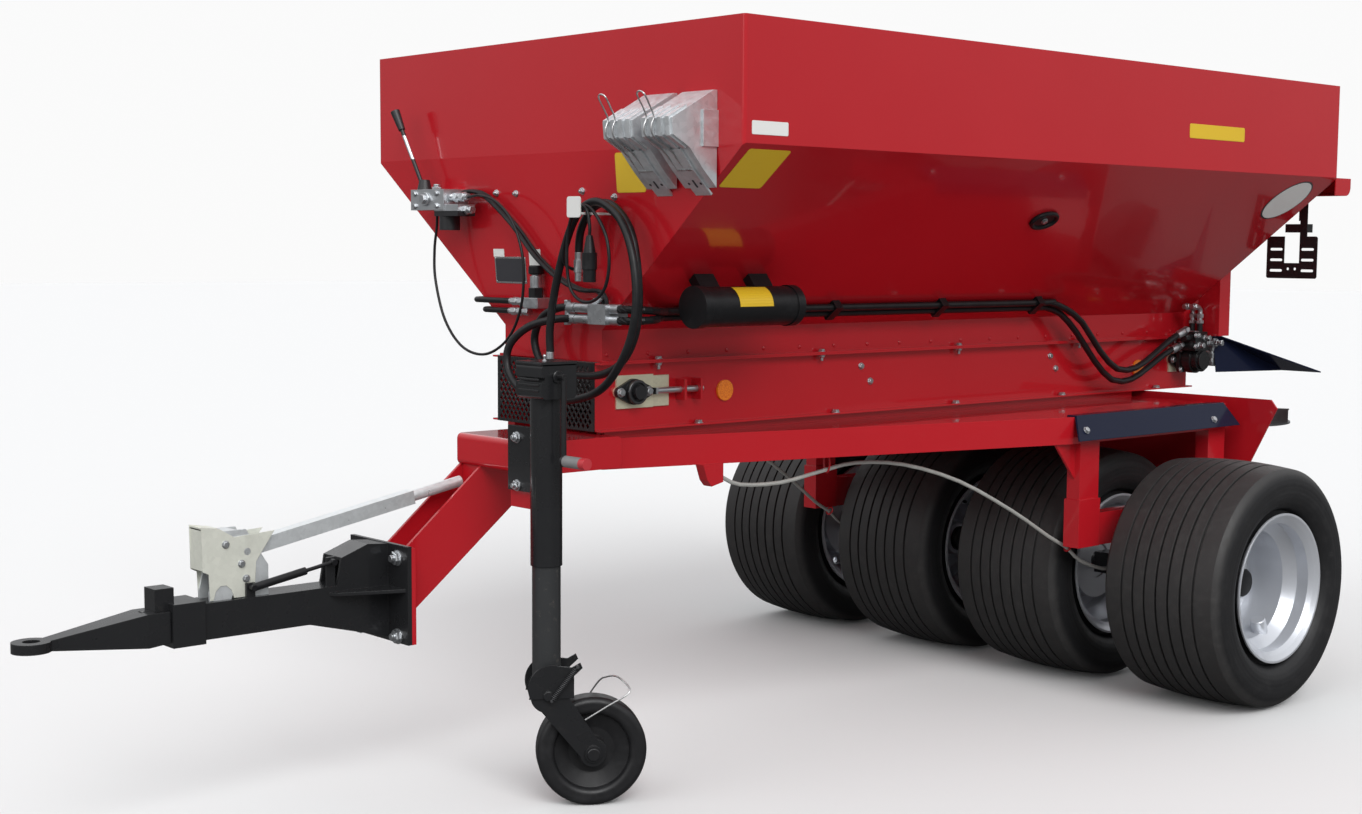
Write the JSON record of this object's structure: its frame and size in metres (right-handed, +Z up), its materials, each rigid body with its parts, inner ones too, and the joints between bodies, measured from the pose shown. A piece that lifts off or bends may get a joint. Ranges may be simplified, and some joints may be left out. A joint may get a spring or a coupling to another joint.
{
  "type": "trailed hopper spreader",
  "caption": "Trailed belt-floor spreader: open hopper with sloping sides, drawbar with jack, a row of wide wheels and rear spinner discs under a hood.",
  "frame": {"origin": "ground point under the centre of the overall box", "axes": "+X forward to the tow eye, +Y left, +Z up"},
  "size_m": [4.7059, 2.217, 2.013],
  "materials": {
    "red_paint": "gloss",
    "black_paint": "satin",
    "navy_paint": "gloss",
    "zinc": "satin",
    "rim_silver": "satin",
    "tyre_rubber": "matt",
    "black_rubber": "matt",
    "passivated": "satin",
    "white_paint": "satin",
    "black_plastic": "matt",
    "amber": "gloss"
  },
  "bodies": {
    "frame": {"hopper": "red_paint", "rear_rail": "red_paint", "trough": "red_paint", "mesh_guard": "black_paint", "belt": "black_rubber", "rollers": "zinc", "bearing_plates": "passivated", "chassis": "red_paint", "gooseneck": "red_paint", "wheel_frames": "red_paint", "axles": "black_paint", "splash_plate": "red_paint", "guard_strips": "navy_paint", "overrun": "black_paint", "tow_eye": "black_paint", "handbrake": "zinc", "gas_strut": "black_paint", "jack_outer": "black_paint", "jack_crank": "zinc", "chocks": "zinc", "chock_holders": "zinc", "hand_valve": "zinc", "hose_hook": "white_paint", "document_tube": "black_plastic", "side_hoses": "black_rubber", "hose_clamps": "zinc", "reflectors": "amber", "gate_columns": "red_paint", "spinner_frame": "red_paint", "spinner_motors": "black_paint", "spinner_hood": "navy_paint", "conveyor_motor": "black_paint", "plate_holder": "black_paint", "brake_cables": "black_rubber", "front_block": "zinc", "valve_hoses": "black_rubber", "hose_a": "black_rubber", "hose_b": "black_rubber", "hose_couplings": "zinc", "lamp_cable": "black_rubber", "lamp_plug": "black_plastic", "valve_cable": "black_rubber"},
    "wheel_1": {"rim_1": "rim_silver", "tyre_1": "tyre_rubber"},
    "wheel_2": {"rim_2": "rim_silver", "tyre_2": "tyre_rubber"},
    "wheel_3": {"rim_3": "rim_silver", "tyre_3": "tyre_rubber"},
    "wheel_4": {"rim_4": "rim_silver", "tyre_4": "tyre_rubber"},
    "jack_leg": {"jack_inner": "black_paint"},
    "jack_foot": {"jack_foot": "black_paint"},
    "jack_wheel": {"jack_wheel": "tyre_rubber"},
    "gate": {"gate": "red_paint"},
    "disc_left": {"disc_left": "zinc"},
    "disc_right": {"disc_right": "zinc"}
  },
  "joints": [
    {"name": "wheel_1_spin", "type": "hinge", "parent": "frame", "child": "wheel_1", "pos_m": [-1.233, -0.893, 0.39], "axis": [0, 1, 0], "continuous": true},
    {"name": "wheel_2_spin", "type": "hinge", "parent": "frame", "child": "wheel_2", "pos_m": [-1.233, -0.282, 0.39], "axis": [0, 1, 0], "continuous": true},
    {"name": "wheel_3_spin", "type": "hinge", "parent": "frame", "child": "wheel_3", "pos_m": [-1.233, 0.282, 0.39], "axis": [0, 1, 0], "continuous": true},
    {"name": "wheel_4_spin", "type": "hinge", "parent": "frame", "child": "wheel_4", "pos_m": [-1.233, 0.893, 0.39], "axis": [0, 1, 0], "continuous": true},
    {"name": "jack_slide", "type": "slide", "parent": "frame", "child": "jack_leg", "axis": [0, 0, 1], "range_m": [-0.1, 0.18]},
    {"name": "jack_fold", "type": "hinge", "parent": "jack_leg", "child": "jack_foot", "pos_m": [1.119, 0.385, 0.3], "axis": [0.5299, 0.848, 0], "range_deg": [0, 50]},
    {"name": "jack_wheel_spin", "type": "hinge", "parent": "jack_foot", "child": "jack_wheel", "pos_m": [1.02063, 0.44647, 0.143], "axis": [0.5299, 0.848, 0], "continuous": true},
    {"name": "gate_slide", "type": "slide", "parent": "frame", "child": "gate", "axis": [0, 0, 1], "range_m": [0, 0.2]},
    {"name": "disc_left_spin", "type": "hinge", "parent": "frame", "child": "disc_left", "pos_m": [-2.083, 0.29, 0.818], "axis": [0, 0, 1], "continuous": true},
    {"name": "disc_right_spin", "type": "hinge", "parent": "frame", "child": "disc_right", "pos_m": [-2.083, -0.29, 0.818], "axis": [0, 0, 1], "continuous": true}
  ]
}
